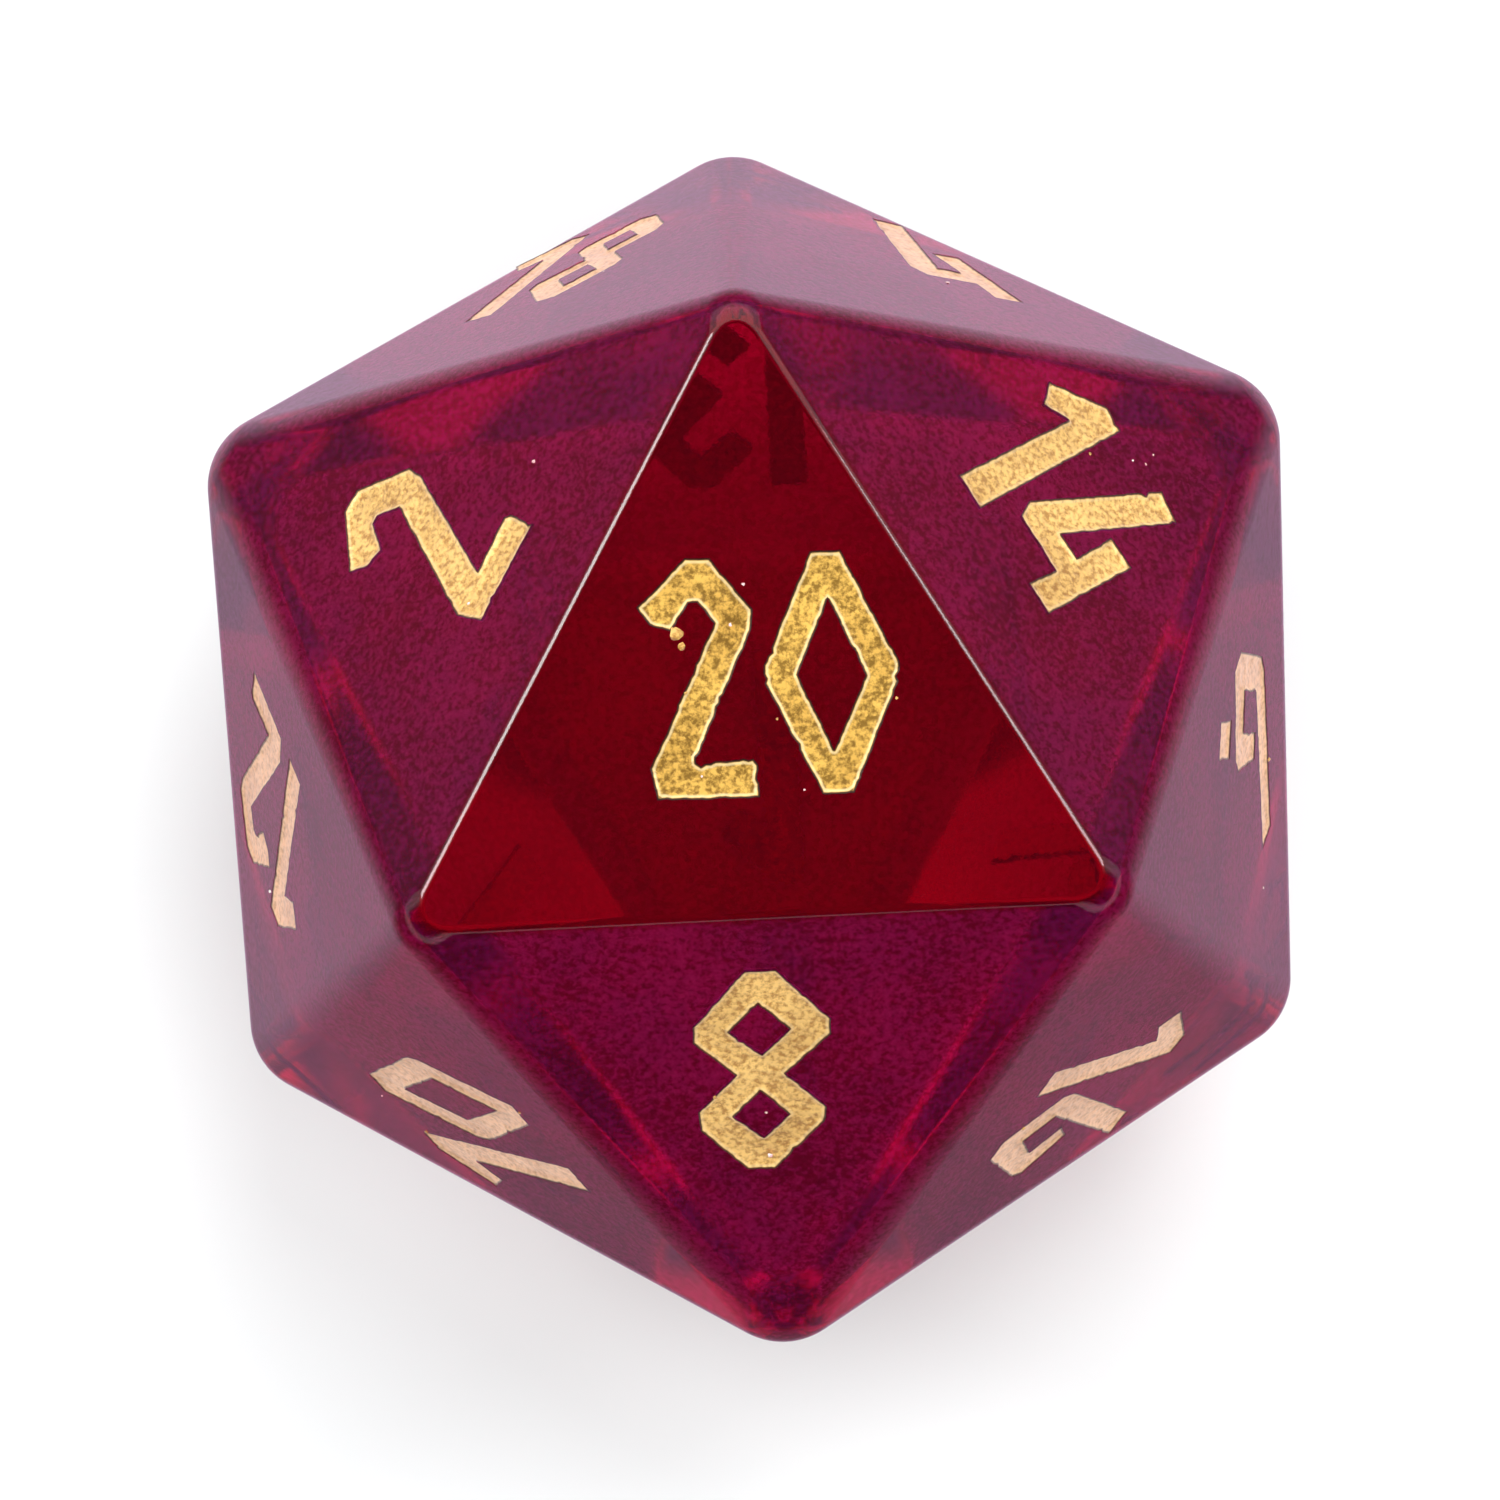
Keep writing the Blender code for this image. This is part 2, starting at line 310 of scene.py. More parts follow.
def cut_off(work, normal, distance):
    """Takes away what lies outside a plane and closes the cut."""
    bmesh.ops.bisect_plane(
        work, geom=[*work.verts, *work.edges, *work.faces], dist=1e-6,
        plane_co=Vector(normal) * distance, plane_no=Vector(normal), clear_outer=True,
    )
    rim = [edge for edge in work.edges if edge.is_boundary]
    if rim:
        bmesh.ops.edgeloop_fill(work, edges=rim)


def soften(work, top, side, reach):
    """Rounds the edge between the ground top and a side plane this far out, with a few cuts."""
    half = FACE_TO_FACE / 2
    lean = math.acos(float(top @ side))
    for k in range(1, TOP_EDGE_CUTS):
        tilt = lean * k / TOP_EDGE_CUTS
        sharp = (math.sin(lean - tilt) * half + math.sin(tilt) * reach) / math.sin(lean)
        back = 1 - math.cos(tilt - lean / 2) / math.cos(lean / 2)
        cut_off(work, turned(top, side, k / TOP_EDGE_CUTS), sharp + TOP_EDGE_RADIUS * back)


def rounded_icosahedron():
    """The polished glass before engraving: soft all over, then its top ground flat and crisp."""
    normals = {n: np.array(matrix.to_3x3().col[2]) for n, matrix in FRAMES.items()}
    sides = np.array([normal for n, normal in normals.items() if n != 20])
    half = FACE_TO_FACE / 2
    work = bmesh.new()
    for corner, meeting in inner_corners(sides, half - EDGE_RADIUS):
        radius = TOP_CORNER_RADIUS if corner[2] > half / 2 else EDGE_RADIUS
        ball = corner * (half - radius) / (half - EDGE_RADIUS)
        for point in rounding_points(ball, meeting, radius):
            work.verts.new(point)
    made = bmesh.ops.convex_hull(work, input=list(work.verts))
    spare = {v for v in [*made["geom_interior"], *made["geom_unused"]]
             if isinstance(v, bmesh.types.BMVert) and v.is_valid}
    bmesh.ops.delete(work, geom=list(spare), context="VERTS")
    cut_off(work, normals[20], half)
    for neighbour in (2, 8, 14):
        soften(work, normals[20], normals[neighbour], half)
    for name in UPPER_FACES[20]:
        first, last = (normals[n] for n in (2, 8, 14) if name in UPPER_FACES[n])
        ball = np.array(CORNERS[name]) * (1 - TOP_CORNER_RADIUS / half)
        for step in range(1, TOP_CORNER_STEPS):
            side = turned(first, last, step / TOP_CORNER_STEPS)
            soften(work, normals[20], side, float(side @ ball) + TOP_CORNER_RADIUS)
    bmesh.ops.dissolve_limit(work, angle_limit=SAME_PLANE, verts=work.verts,
                             edges=work.edges)
    bmesh.ops.recalc_face_normals(work, faces=work.faces)
    bmesh.ops.translate(work, verts=work.verts, vec=CENTRE)
    mesh = bpy.data.meshes.new("glass_die")
    work.to_mesh(mesh)
    work.free()
    return new_object("glass_die", mesh)


# ------------------------------------------------------------------- outlines

def signed_area(loop):
    """Positive for a loop that runs anticlockwise."""
    return sum(
        a[0] * b[1] - b[0] * a[1] for a, b in zip(loop, loop[1:] + loop[:1], strict=True)
    ) / 2


def facing(loop, is_counter):
    """The loop turned so that the stroke lies on its left."""
    return loop[::-1] if (signed_area(loop) > 0) == is_counter else loop


def moved_in(loop, by):
    """The loop with every side moved towards the stroke, which lies on its left."""
    result = []
    for i, point in enumerate(loop):
        before = Vector(loop[i - 1])
        here = Vector(point)
        after = Vector(loop[(i + 1) % len(loop)])
        first = (here - before).normalized()
        second = (after - here).normalized()
        turn = max(1 + first.dot(second), SHARPEST_MITRE)
        mitre = Vector((-first.y - second.y, first.x + second.x)) / turn
        result.append(tuple(here + mitre * by))
    return result


def hand_cut(loop, seed):
    """The outline in short steps that wander a little, with a few small nicks."""
    result = []
    for i, point in enumerate(loop):
        start, end = Vector(point), Vector(loop[(i + 1) % len(loop)])
        side = end - start
        steps = max(1, round(side.length / OUTLINE_STEP))
        across = Vector((-side.y, side.x)).normalized()
        for k in range(steps):
            here = start + side * (k / steps)
            wave = noise.noise(Vector((here.x * WAVES, here.y * WAVES, seed * 3.7)))
            fine = noise.noise(Vector((here.x * RIPPLES, here.y * RIPPLES, seed * 1.9)))
            nick = noise.noise(Vector((here.x * NICKS, here.y * NICKS, seed * 5.3 + 40)))
            move = (OUTLINE_WANDER * (wave + RIPPLE_SHARE * fine)
                    + NICK_DEPTH * max(0.0, nick - NICK_LEVEL) / NICK_RANGE)
            if k == 0:
                move *= CORNER_SHARE
            result.append(tuple(here + across * move))
    return result


def placed_loops(numeral):
    """(node name, rough loops) for each digit and dot of a numeral, in its face's plane."""
    text = str(numeral)
    size, middle, base = PLACES.get(numeral, USUAL_PLACE[len(text)])
    gap = GAPS.get(numeral, DIGIT_GAP)
    widths = [max(x for x, _ in DIGITS[digit][0]) * size for digit in text]
    left = middle - (sum(widths) + gap * (len(text) - 1)) / 2
    names = ("tens", "ones") if len(text) == 2 else ("",)
    placed = []
    for digit, width, place in zip(text, widths, names, strict=True):
        loops = [[(left + x * size, base + y * size) for x, y in loop]
                 for loop in DIGITS[digit]]
        placed.append((f"numeral_{numeral:02d}_{place}".rstrip("_"), loops))
        left += width + gap
    if numeral in WITH_DOT:
        across = left - gap + DOT_ACROSS
        above = base + DOT_ABOVE_BASE
        half = DOT_SIDE / math.sqrt(2)
        diamond = [(across - half, above), (across, above + half),
                   (across + half, above), (across, above - half)]
        placed.append((f"numeral_{numeral:02d}_dot", [diamond]))
    return [
        (name, [hand_cut(moved_in(facing(loop, k > 0), -OUTLINE_MARGIN),
                         numeral * 7 + len(name) + 3 * k)
                for k, loop in enumerate(loops)])
        for name, loops in placed
    ]


def inside(loops, x, y):
    """Even-odd test of many points against the loops."""
    hit = np.zeros(len(x), bool)
    for loop in loops:
        p = np.array(loop)
        q = np.roll(p, -1, axis=0)
        for (x0, y0), (x1, y1) in zip(p, q, strict=True):
            if y0 == y1:
                continue
            crosses = (y0 > y) != (y1 > y)
            hit ^= crosses & (x < (x1 - x0) * (y - y0) / (y1 - y0) + x0)
    return hit


def distance(loops, x, y):
    """Distance of many points from the nearest side of the loops."""
    nearest = np.full(len(x), 1e9)
    for loop in loops:
        p = np.array(loop)
        q = np.roll(p, -1, axis=0)
        for a, b in zip(p, q, strict=True):
            d = b - a
            t = ((x - a[0]) * d[0] + (y - a[1]) * d[1]) / max(float(d @ d), 1e-12)
            t = np.clip(t, 0, 1)
            nearest = np.minimum(nearest, np.hypot(x - a[0] - t * d[0], y - a[1] - t * d[1]))
    return nearest


def triangulated(loops, extra):
    """Triangles of the area inside the loops, through the extra points."""
    points, edges = [], []
    for loop in loops:
        first = len(points)
        points += [Vector(p) for p in loop]
        edges += [(first + i, first + (i + 1) % len(loop)) for i in range(len(loop))]
    points += [Vector(p) for p in extra]
    found = geometry.delaunay_2d_cdt(points, edges, [], 0, 1e-7)
    verts, faces = found[0], found[2]
    xy = np.array([tuple(v) for v in verts])
    tri = np.array(faces)
    mid = xy[tri].mean(axis=1)
    keep = inside(loops, mid[:, 0], mid[:, 1])
    return xy, tri[keep]


# ---------------------------------------------------------------------- paint

def paint_mesh(name, loops, seed):
    """One digit's paint: a pebbly sunken top, a rim up the groove's walls, and a flat underside."""
    loops = [moved_in(loop, -PAINT_OVERLAP) for loop in loops]
    flat = [p for loop in loops for p in loop]
    low = np.min(flat, axis=0)
    high = np.max(flat, axis=0)
    rng = np.random.default_rng(seed)
    gx, gy = np.meshgrid(
        np.arange(low[0], high[0], PAINT_STEP), np.arange(low[1], high[1], PAINT_STEP)
    )
    gx = gx.ravel() + rng.uniform(-PAINT_JITTER, PAINT_JITTER, gx.size) * PAINT_STEP
    gy = gy.ravel() + rng.uniform(-PAINT_JITTER, PAINT_JITTER, gy.size) * PAINT_STEP
    keep = inside(loops, gx, gy)
    gx, gy = gx[keep], gy[keep]
    keep = distance(loops, gx, gy) > EDGE_LINE + EDGE_LINE_CLEAR
    line = [p for loop in loops for p in moved_in(loop, EDGE_LINE)]
    extra = line + list(zip(gx[keep], gy[keep], strict=True))
    xy, tri = triangulated(loops, extra)
    away = distance(loops, xy[:, 0], xy[:, 1])
    ease = np.clip(away / RIM_WIDTH, 0, 1)
    ease = ease * ease * (3 - 2 * ease)
    pebbles = np.array([
        noise.noise(Vector((x * PEBBLES, y * PEBBLES, seed * 2.1)))
        + SMALL_PEBBLE_SHARE
        * noise.noise(Vector((x * SMALL_PEBBLES, y * SMALL_PEBBLES, seed * 4.3)))
        for x, y in xy
    ])
    height = -PAINT_RIM - (PAINT_SUNK - PAINT_RIM) * ease + PEBBLE * pebbles * ease
    work = bmesh.new()
    # Distance from the outline, which the paint's material turns into a painted shade line and a painted
    # highlight.
    far = work.verts.layers.float.new("from_outline")
    top = [work.verts.new((x, y, z)) for (x, y), z in zip(xy, height, strict=True)]
    for vert, value in zip(top, away, strict=True):
        vert[far] = float(value)
    for a, b, c in tri:
        face = work.faces.new((top[a], top[b], top[c]))
        face.smooth = True
    under = {}
    for edge in [e for e in work.edges if e.is_boundary]:
        for vert in edge.verts:
            if vert not in under:
                x, y, _ = vert.co
                under[vert] = work.verts.new((x, y, PAINT_UNDERSIDE))
                # The underside takes part of the painted shade line.
                under[vert][far] = UNDERSIDE_PAINTED_SHADE
        a, b = edge.verts
        work.faces.new((a, b, under[b], under[a]))
    bottom = [e for e in work.edges if e.is_boundary]
    bmesh.ops.triangle_fill(work, edges=bottom, use_beauty=False, use_dissolve=False)
    for vert in [v for v in work.verts if not v.link_faces]:
        work.verts.remove(vert)
    bmesh.ops.recalc_face_normals(work, faces=work.faces)
    for edge in work.edges:
        if len(edge.link_faces) == 2 and edge.calc_face_angle(0) > PAINT_CREASE:
            edge.smooth = False
    mesh = bpy.data.meshes.new(name)
    work.to_mesh(mesh)
    work.free()
    return mesh


def groove_mesh(name, loops):
    """A closed cutter with straight walls along the loops, from below the face to above it."""
    xy, tri = triangulated(loops, [])
    work = bmesh.new()
    top = [work.verts.new((x, y, ENGRAVING_DEPTH)) for x, y in xy]
    low = [work.verts.new((x, y, -ENGRAVING_DEPTH)) for x, y in xy]
    for a, b, c in tri:
        work.faces.new((top[a], top[b], top[c]))
        work.faces.new((low[c], low[b], low[a]))
    first = 0
    for loop in loops:
        for i in range(len(loop)):
            a, b = first + i, first + (i + 1) % len(loop)
            work.faces.new((top[a], low[a], low[b], top[b]))
        first += len(loop)
    bmesh.ops.recalc_face_normals(work, faces=work.faces)
    mesh = bpy.data.meshes.new(name)
    work.to_mesh(mesh)
    work.free()
    return mesh


# ------------------------------------------------------------------ materials

def new_material(name):
    material = bpy.data.materials.new(name)
    material.use_nodes = True
    return material, material.node_tree, material.node_tree.nodes["Principled BSDF"]


def node(tree, kind, **values):
    """A new node with these settings or, for names it doesn't have, these inputs."""
    made = tree.nodes.new(kind)
    for key, value in values.items():
        if hasattr(made, key):
            setattr(made, key, value)
        else:
            made.inputs[key.replace("_", " ")].default_value = value
    return made


def ramp_of(tree, source, stops):
    """A smooth grey ramp of a value, as (place, level) stops."""
    ramp = node(tree, "ShaderNodeValToRGB")
    ramp.color_ramp.interpolation = "EASE"
    elements = ramp.color_ramp.elements
    while len(elements) < len(stops):
        elements.new(0.5)
    for element, (place, level) in zip(elements, stops, strict=True):
        element.position = place
        element.color = (level, level, level, 1)
    tree.links.new(source, ramp.inputs["Fac"])
    return ramp.outputs["Color"]


def maths(tree, first, second, operation="MULTIPLY"):
    """The result of one maths node, whose values are sockets or plain numbers."""
    made = node(tree, "ShaderNodeMath", operation=operation)
    for socket, value in zip(made.inputs, (first, second), strict=False):
        if isinstance(value, float):
            socket.default_value = value
        else:
            tree.links.new(value, socket)
    return made.outputs["Value"]


def glass_material():
    """Ruby glass: coloured by its depth, clear on the polished top, faintly hazed elsewhere."""
    material, tree, shader = new_material("ruby_glass")
    shader.inputs["Transmission Weight"].default_value = GLASS_CLEARNESS
    shader.inputs["IOR"].default_value = 1.5
    shader.inputs["Sheen Weight"].default_value = 0.035
    shader.inputs["Sheen Roughness"].default_value = 0.45
    shader.inputs["Sheen Tint"].default_value = (0.8, 0.4, 1.0, 1)
    place = node(tree, "ShaderNodeTexCoord")
    split = node(tree, "ShaderNodeSeparateXYZ")
    top = node(tree, "ShaderNodeMapRange")
    top.inputs["From Min"].default_value = POLISHED_FROM
    top.inputs["From Max"].default_value = POLISHED_TO
    cloud = node(tree, "ShaderNodeTexNoise", Scale=330.0, Detail=3.0, Roughness=0.55)
    haze = node(tree, "ShaderNodeValToRGB")
    stops = haze.color_ramp.elements
    stops[0].position, stops[0].color = 0.42, (0.45, 0.004, 0.13, 1)
    stops[1].position, stops[1].color = 0.58, (1.0, 0.028, 0.48, 1)
    colour = node(tree, "ShaderNodeMixRGB")
    colour.inputs["Color2"].default_value = (0.50, 0.001, 0.03, 1)
    rough = node(tree, "ShaderNodeMapRange")
    rough.inputs["To Min"].default_value = TUMBLED_ROUGHNESS
    rough.inputs["To Max"].default_value = POLISHED_ROUGHNESS
    swell = node(tree, "ShaderNodeTexNoise", Scale=260.0, Detail=1.0, Roughness=0.4)
    grain = node(tree, "ShaderNodeTexNoise", Scale=8000.0, Detail=2.0, Roughness=0.7)
    both = node(tree, "ShaderNodeMixRGB")
    both.inputs["Fac"].default_value = 0.7
    low = node(tree, "ShaderNodeBump", Strength=0.10, Distance=0.0002)
    high = node(tree, "ShaderNodeBump", Strength=0.06, Distance=0.00002)
    links = tree.links
    for texture in (cloud, swell, grain, split):
        links.new(place.outputs["Object"], texture.inputs["Vector"])
    links.new(split.outputs["Z"], top.inputs["Value"])
    links.new(top.outputs["Result"], colour.inputs["Fac"])
    links.new(cloud.outputs["Fac"], both.inputs["Color1"])
    links.new(grain.outputs["Fac"], both.inputs["Color2"])
    links.new(both.outputs["Color"], haze.inputs["Fac"])
    links.new(haze.outputs["Color"], colour.inputs["Color1"])
    links.new(colour.outputs["Color"], shader.inputs["Base Color"])
    links.new(top.outputs["Result"], rough.inputs["Value"])
    links.new(rough.outputs["Result"], shader.inputs["Roughness"])
    links.new(swell.outputs["Fac"], low.inputs["Height"])
    links.new(grain.outputs["Fac"], high.inputs["Height"])
    links.new(low.outputs["Normal"], high.inputs["Normal"])
    links.new(high.outputs["Normal"], shader.inputs["Normal"])
    depth = node(tree, "ShaderNodeVolumeAbsorption")
    depth.inputs["Color"].default_value = GLASS_COLOUR
    depth.inputs["Density"].default_value = GLASS_DENSITY
    links.new(depth.outputs["Volume"], tree.nodes["Material Output"].inputs["Volume"])
    return material


def gold_material(name, dark, light, low, high, painted_highlight_level):
    """Gold paint: mottled flakes in a clear binder, with a painted shade line round each stroke and a
    painted highlight on its crest.
    """
    material, tree, shader = new_material(name)
    shader.inputs["Metallic"].default_value = 0.3
    shader.inputs["Sheen Weight"].default_value = 0.6
    shader.inputs["Sheen Roughness"].default_value = 0.5
    shader.inputs["Sheen Tint"].default_value = (1.0, 0.80, 0.72, 1)
    place = node(tree, "ShaderNodeTexCoord")
    blotch = node(tree, "ShaderNodeTexNoise", Scale=9000.0, Detail=3.0, Roughness=0.6)
    patch = node(tree, "ShaderNodeTexNoise", Scale=700.0, Detail=2.0, Roughness=0.5)
    pits = node(tree, "ShaderNodeTexVoronoi", Scale=9000.0)
    mottle = node(tree, "ShaderNodeValToRGB")
    stops = mottle.color_ramp.elements
    stops[0].position, stops[0].color = low, dark
    stops[1].position, stops[1].color = high, light
    worn = node(tree, "ShaderNodeMixRGB", blend_type="MULTIPLY")
    shade = node(tree, "ShaderNodeValToRGB")
    stops = shade.color_ramp.elements
    stops[0].position, stops[0].color = 0.36, (0.84, 0.80, 0.74, 1)
    stops[1].position, stops[1].color = 0.62, (1, 1, 1, 1)
    worn.inputs["Fac"].default_value = 1.0
    # Painted shade: a dark line along each stroke's edge, for the shade at the groove's edge. Painted
    # highlight: a pale band on the crest just inside it.
    outline = node(tree, "ShaderNodeAttribute", attribute_name="from_outline")
    line = node(tree, "ShaderNodeValToRGB")
    stops = line.color_ramp.elements
    stops[0].position, stops[0].color = PAINTED_SHADE_STOPS[0], (0.06, 0.012, 0.012, 1)
    stops[1].position, stops[1].color = PAINTED_SHADE_STOPS[1], (1, 1, 1, 1)
    levels = (0.0, painted_highlight_level, painted_highlight_level, 0.0)
    painted_highlight = ramp_of(tree, outline.outputs["Fac"], list(zip(PAINTED_HIGHLIGHT_STOPS, levels, strict=True)))
    with_painted_highlight = node(tree, "ShaderNodeMixRGB")
    with_painted_highlight.inputs["Color2"].default_value = (1.0, 0.80, 0.42, 1)
    with_painted_shade = node(tree, "ShaderNodeMixRGB", blend_type="MULTIPLY")
    with_painted_shade.inputs["Fac"].default_value = 1.0
    rough = node(tree, "ShaderNodeMapRange")
    rough.inputs["From Min"].default_value = 0.3
    rough.inputs["From Max"].default_value = 0.7
    rough.inputs["To Min"].default_value = 0.32
    rough.inputs["To Max"].default_value = 0.6
    bump = node(tree, "ShaderNodeBump", Strength=0.6, Distance=0.00003)
    tilt = node(tree, "ShaderNodeBump", Strength=0.4, Distance=0.00002)
    links = tree.links
    for texture in (blotch, patch, pits):
        links.new(place.outputs["Object"], texture.inputs["Vector"])
    links.new(blotch.outputs["Fac"], mottle.inputs["Fac"])
    links.new(patch.outputs["Fac"], shade.inputs["Fac"])
    links.new(mottle.outputs["Color"], worn.inputs["Color1"])
    links.new(shade.outputs["Color"], worn.inputs["Color2"])
    links.new(outline.outputs["Fac"], line.inputs["Fac"])
    links.new(painted_highlight, with_painted_highlight.inputs["Fac"])
    links.new(worn.outputs["Color"], with_painted_highlight.inputs["Color1"])
    links.new(with_painted_highlight.outputs["Color"], with_painted_shade.inputs["Color1"])
    links.new(line.outputs["Color"], with_painted_shade.inputs["Color2"])
    links.new(with_painted_shade.outputs["Color"], shader.inputs["Base Color"])
    links.new(patch.outputs["Fac"], rough.inputs["Value"])
    links.new(rough.outputs["Result"], shader.inputs["Roughness"])
    links.new(blotch.outputs["Fac"], bump.inputs["Height"])
    links.new(pits.outputs["Distance"], tilt.inputs["Height"])
    links.new(bump.outputs["Normal"], tilt.inputs["Normal"])
    links.new(tilt.outputs["Normal"], shader.inputs["Normal"])
    return material


# -------------------------------------------------------------------- the die

GLASS = glass_material()
GOLD = gold_material(
    "gold_paint", (0.48, 0.23, 0.04, 1), (0.98, 0.62, 0.185, 1), 0.36, 0.58, 0.35
)
# A paler, peach copy of the same paint for the six outer faces: a painted reflection of the pale
# surroundings seen at a glancing angle.
SIDE_GOLD_PAINTED_REFLECTION = gold_material(
    "gold_paint_side_painted_reflection", (0.62, 0.31, 0.14, 1), (1.0, 0.59, 0.335, 1), 0.34, 0.58, 0.2
)
# A darker copy of the same paint for the top face: painted shade where it faces the dark sky above, with
# a stronger painted highlight on its crest.
TOP_GOLD_PAINTED_SHADE = gold_material(
    "gold_paint_top_painted_shade", (0.25, 0.13, 0.008, 1), (0.82, 0.49, 0.090, 1), 0.38, 0.60, 0.6
)

# The top and outer faces get the shaded and lit copies of the one gold paint.
paints = {20: TOP_GOLD_PAINTED_SHADE, **dict.fromkeys((18, 4, 12, 10, 16, 6), SIDE_GOLD_PAINTED_REFLECTION)}
body = rounded_icosahedron()
cutters = bpy.data.collections.new("engraving")
for numeral in sorted(FRAMES):
    for name, loops in placed_loops(numeral):
        cutter = bpy.data.objects.new(name + "_cutter", groove_mesh(name, loops))
        cutter.data.transform(FRAMES[numeral])
        cutters.objects.link(cutter)
        mesh = paint_mesh(name + "_paint", loops, numeral * 11 + len(name))
        mesh.transform(Matrix.Scale(MM, 4) @ FRAMES[numeral])
        mesh.materials.append(paints.get(numeral, GOLD))
        paint = new_object(name + "_paint", mesh)
        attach(paint, "root")
        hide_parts(name)

engraving = body.modifiers.new("Engraving", "BOOLEAN")
engraving.operation = "DIFFERENCE"
engraving.solver = "EXACT"
engraving.operand_type = "COLLECTION"
engraving.collection = cutters
body.data = evaluated_mesh(body)
body.modifiers.clear()
for cutter in list(cutters.objects):
    bpy.data.objects.remove(cutter, do_unlink=True)
bpy.data.collections.remove(cutters)
body.data.transform(Matrix.Scale(MM, 4))
body.data.shade_smooth()
body.data.set_sharp_from_angle(angle=CREASE)
weighted = body.modifiers.new("Weighted Normal", "WEIGHTED_NORMAL")
weighted.keep_sharp = True
body.data = evaluated_mesh(body)
body.modifiers.clear()
body.data.materials.clear()
body.data.materials.append(GLASS)
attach(body, "root")
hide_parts("glass_body")


# ------------------------------------------------------------- dust and flakes

def dust_material():
    """Pale pinkish dust and chips."""
    material, tree, shader = new_material("dust")
    shader.inputs["Roughness"].default_value = 0.6
    place = node(tree, "ShaderNodeTexCoord")
    cloud = node(tree, "ShaderNodeTexNoise", Scale=6000.0, Detail=2.0)
    tone = node(tree, "ShaderNodeValToRGB")
    stops = tone.color_ramp.elements
    stops[0].position, stops[0].color = 0.35, (0.75, 0.35, 0.38, 1)
    stops[1].position, stops[1].color = 0.65, (0.95, 0.80, 0.78, 1)
    tree.links.new(place.outputs["Object"], cloud.inputs["Vector"])
    tree.links.new(cloud.outputs["Fac"], tone.inputs["Fac"])
    tree.links.new(tone.outputs["Color"], shader.inputs["Base Color"])
    return material


def shards(name, spots, material, replaced):
    """Tiny closed flakes lying on the faces, from (numeral, x, y, size) spots in mm."""
    work = bmesh.new()
    far = work.verts.layers.float.new("from_outline")
    for numeral, x, y, size in spots:
        corners = []
        for k in range(SHARD_CORNERS):
            turn = 2 * math.pi * k / SHARD_CORNERS + RNG.uniform(-SHARD_JITTER, SHARD_JITTER)
            reach = size * RNG.uniform(*SHARD_REACHES)
            place = Vector((x + reach * math.cos(turn), y + reach * math.sin(turn),
                            size * RNG.uniform(*SHARD_HEIGHTS)))
            corners.append(work.verts.new(FRAMES[numeral] @ place))
            corners[-1][far] = 1.0
        made = bmesh.ops.convex_hull(work, input=corners)
        spare = {v for v in made["geom_interior"] + made["geom_unused"]
                 if isinstance(v, bmesh.types.BMVert)}
        bmesh.ops.delete(work, geom=list(spare), context="VERTS")
    mesh = bpy.data.meshes.new(name)
    work.to_mesh(mesh)
    work.free()
    mesh.transform(Matrix.Scale(MM, 4))
    mesh.materials.append(material)
    made = new_object(name, mesh)
    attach(made, "root")
    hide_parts(replaced)


specks = []
for numeral in (20, 20, 20, 20, 2, 2, 14, 14, 14, 8, 8, 12, 10, 16, 6, 18, 4):
    height = RNG.uniform(*SPECK_HEIGHTS)
    width = (SPECKS_END - height) * SPECKS_SPREAD
    specks.append((numeral, RNG.uniform(-width, width), height, RNG.uniform(*SPECK_SIZES)))
shards("dust_specks", specks, dust_material(), "glass_body")

flakes = list(HANGING_FLAKES)
for numeral in (20, 20, 20, 14, 8, 10, 10, 16, 6):
    outline = RNG.choice(placed_loops(numeral))[1][0]
    x, y = RNG.choice(outline)
    away = RNG.uniform(*FLAKE_DISTANCES)
    flakes.append((numeral, x + away * RNG.choice((-1, 1)), y - away, RNG.uniform(*FLAKE_SIZES)))
shards("gold_flakes", flakes, GOLD, "numeral_20_tens")


# ------------------------------------------------------------- floor and light

def floor():
    """Pale paper, far wider than the view."""
    material, _, shader = new_material("floor_paper")
    shader.inputs["Base Color"].default_value = (0.775, 0.80, 0.80, 1)
    shader.inputs["Roughness"].default_value = 0.7
    shader.inputs["Specular IOR Level"].default_value = 0.3
    work = bmesh.new()
    bmesh.ops.create_grid(work, x_segments=1, y_segments=1, size=FLOOR_HALF_SIDE)
    mesh = bpy.data.meshes.new("floor")
    work.to_mesh(mesh)
    work.free()
    mesh.materials.append(material)
    made = new_object("floor", mesh)
    made.location.z = -FLOOR_DROP
    made.visible_glossy = False


def area_light(name, place, size, power):
    """A round lamp that points at the middle of the die."""
    data = bpy.data.lights.new(name, "AREA")
    data.shape = "DISK"
    data.size = size
    data.energy = power
    lamp = new_object(name, data)
    lamp.location = place
    lamp.rotation_euler = (MIDDLE - Vector(place)).to_track_quat("-Z", "Y").to_euler()
    return lamp


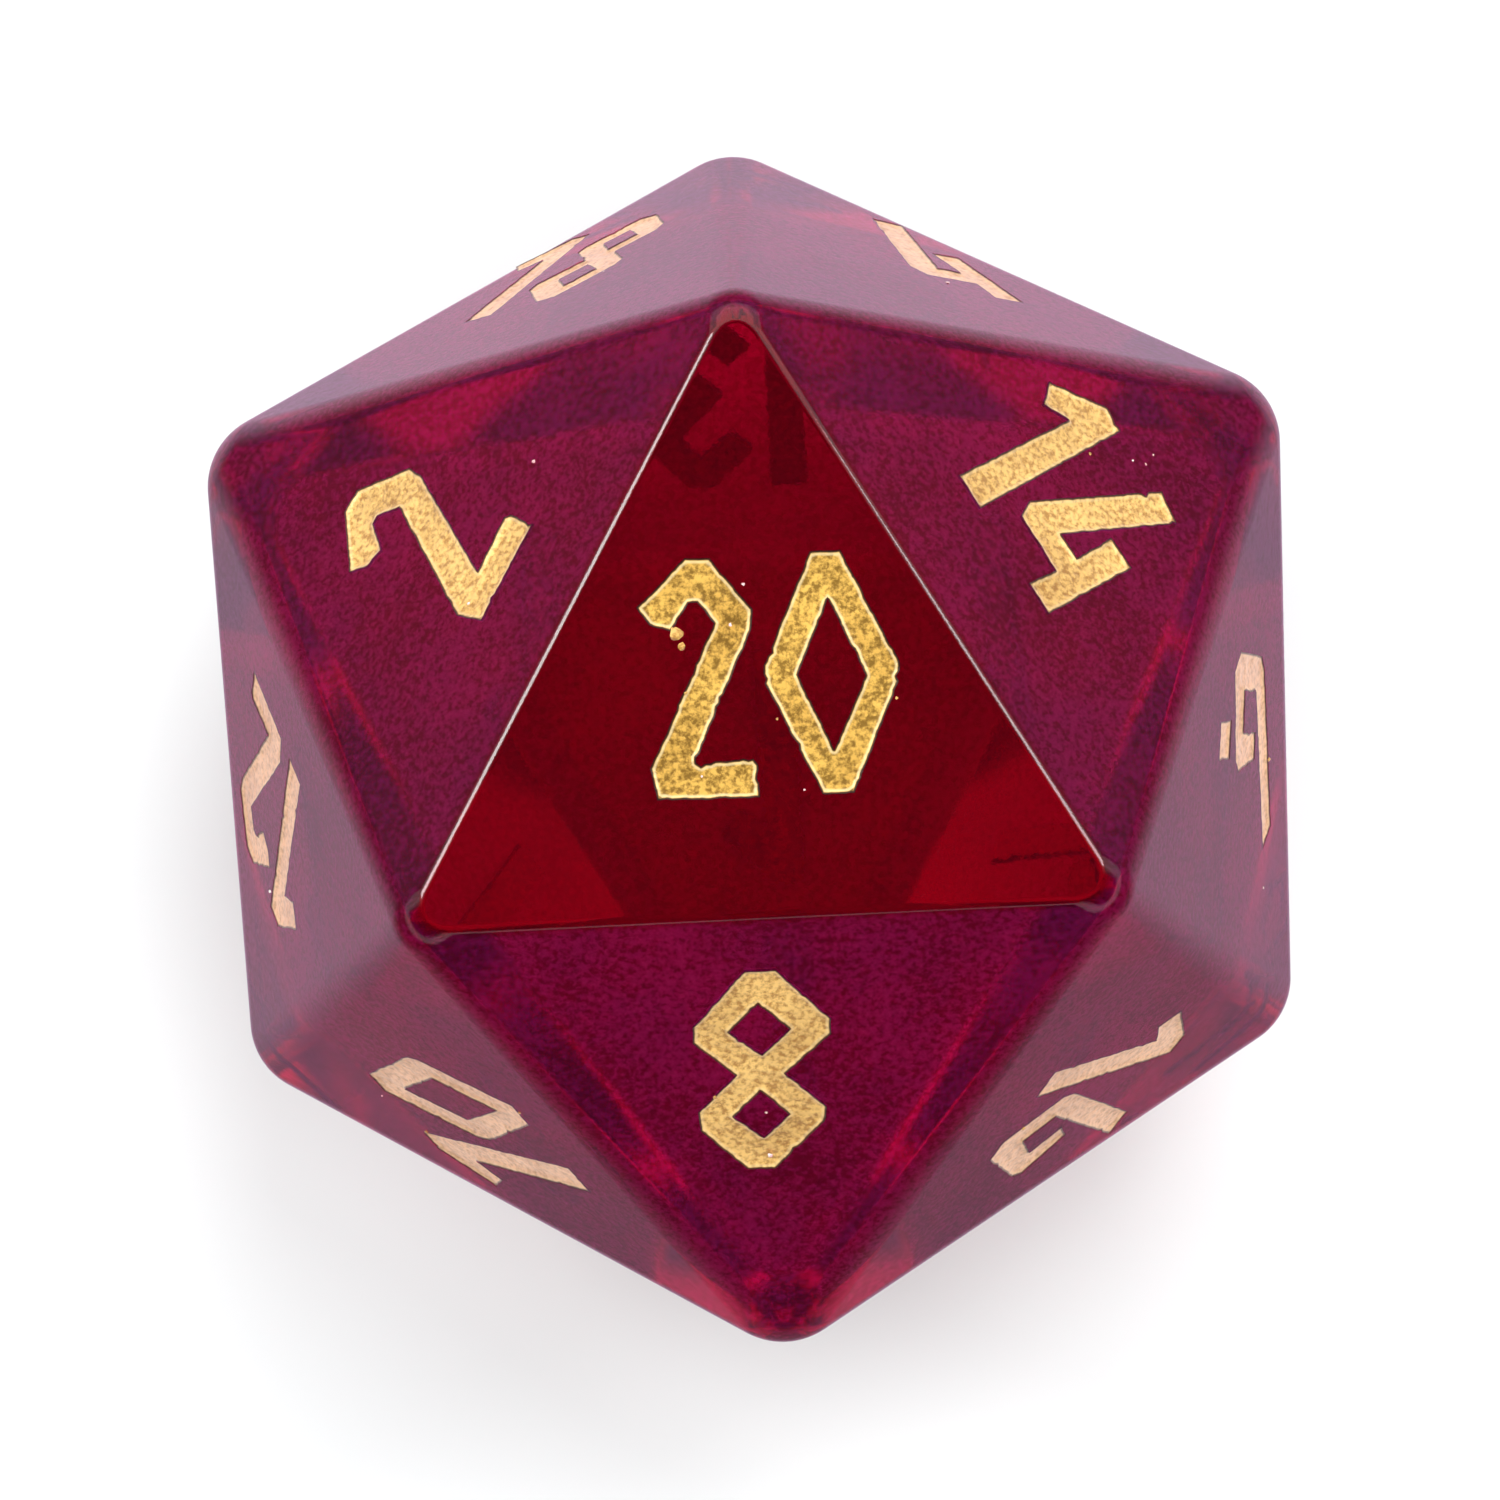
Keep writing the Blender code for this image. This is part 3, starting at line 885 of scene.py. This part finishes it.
def studio():
    """Surroundings brighter at the back, and softboxes of which the glass shows only the highest."""
    world = bpy.data.worlds.new("studio")
    world.use_nodes = True
    tree = world.node_tree
    place = node(tree, "ShaderNodeTexCoord")
    split = node(tree, "ShaderNodeSeparateXYZ")
    tree.links.new(place.outputs["Generated"], split.inputs["Vector"])
    # Directions run from -1 to 1, and these two from 0 to 1.
    along = maths(tree, maths(tree, split.outputs["Y"], 0.5), 0.5, "ADD")
    height = maths(tree, maths(tree, split.outputs["Z"], 0.5), 0.5, "ADD")
    # Each band is its level by height, times its level from front to back.
    below = maths(
        tree,
        ramp_of(tree, height, [(0.0, 1.0), (0.2, 1.0), (0.43, 0.10), (0.55, 0.0)]),
        ramp_of(tree, along, [(0.2, 0.24), (0.46, 0.66), (0.8, 1.02)]),
    )
    wall = maths(
        tree,
        ramp_of(tree, height, [(0.45, 0.0), (0.52, 0.14), (0.57, 0.10), (0.60, 0.0)]),
        ramp_of(tree, along, [(0.1, 0.05), (0.75, 1.0)]),
    )
    panel = ramp_of(
        tree, height, [(0.59, 0.0), (0.62, 0.85), (0.69, 0.85), (0.73, 0.0)]
    )
    window = maths(
        tree,
        ramp_of(tree, height, [(0.68, 0.0), (0.72, 1.35), (0.88, 1.35), (0.94, 0.0)]),
        ramp_of(tree, along, [(0.50, 0.0), (0.70, 1.0)]),
    )
    level = maths(tree, maths(tree, below, wall, "ADD"), maths(tree, window, panel, "ADD"), "ADD")
    tint = node(tree, "ShaderNodeMixRGB")
    tint.inputs["Color1"].default_value = (0.90, 0.68, 0.88, 1)
    tint.inputs["Color2"].default_value = (0.96, 0.96, 1.0, 1)
    tree.links.new(ramp_of(tree, height, [(0.48, 0.0), (0.54, 1.0)]), tint.inputs["Fac"])
    tree.links.new(tint.outputs["Color"], tree.nodes["Background"].inputs["Color"])
    tree.links.new(level, tree.nodes["Background"].inputs["Strength"])
    bpy.context.scene.world = world
    # Azimuth and elevation in degrees, size in metres, power, and whether reflections show it.
    for name, degrees, rise, size, power, seen in (
        ("softbox_top", 62, 62, 0.22, 1.1, False),
        ("softbox_left", 150, 42, 0.16, 0.8, True),
        ("softbox_right", 25, 42, 0.14, 0.4, True),
        ("fill_above", 280, 72, 0.50, 1.6, False),
        ("fill_front", 268, 36, 0.40, 0.5, False),
    ):
        turn, rise = math.radians(degrees), math.radians(rise)
        place = (LAMP_DISTANCE * math.cos(turn) * math.cos(rise),
                 LAMP_DISTANCE * math.sin(turn) * math.cos(rise),
                 LAMP_DISTANCE * math.sin(rise))
        lamp = area_light(name, place, size, power)
        lamp.visible_transmission = name == "fill_above"
        lamp.visible_glossy = seen


def camera():
    """Almost straight above, leaning a little to the front and rolled a little."""
    across, along = CAMERA_LEAN
    away = Vector((math.sin(along), -math.sin(across) * math.cos(along),
                   math.cos(across) * math.cos(along)))
    right = Vector((0, 1, 0)).cross(away).normalized()
    up = away.cross(right)
    x = math.cos(CAMERA_ROLL) * right + math.sin(CAMERA_ROLL) * up
    y = -math.sin(CAMERA_ROLL) * right + math.cos(CAMERA_ROLL) * up
    data = bpy.data.cameras.new("camera")
    data.sensor_width = 36.0
    data.lens = CAMERA_LENS
    data.shift_x, data.shift_y = CAMERA_SHIFT
    data.clip_start = 0.001
    made = new_object("camera", data)
    matrix = Matrix((x, y, away)).transposed().to_4x4()
    matrix.translation = MIDDLE + CAMERA_DISTANCE * away
    made.matrix_world = matrix
    bpy.context.scene.camera = made


floor()
studio()
camera()
bpy.context.scene.view_settings.view_transform = "Standard"
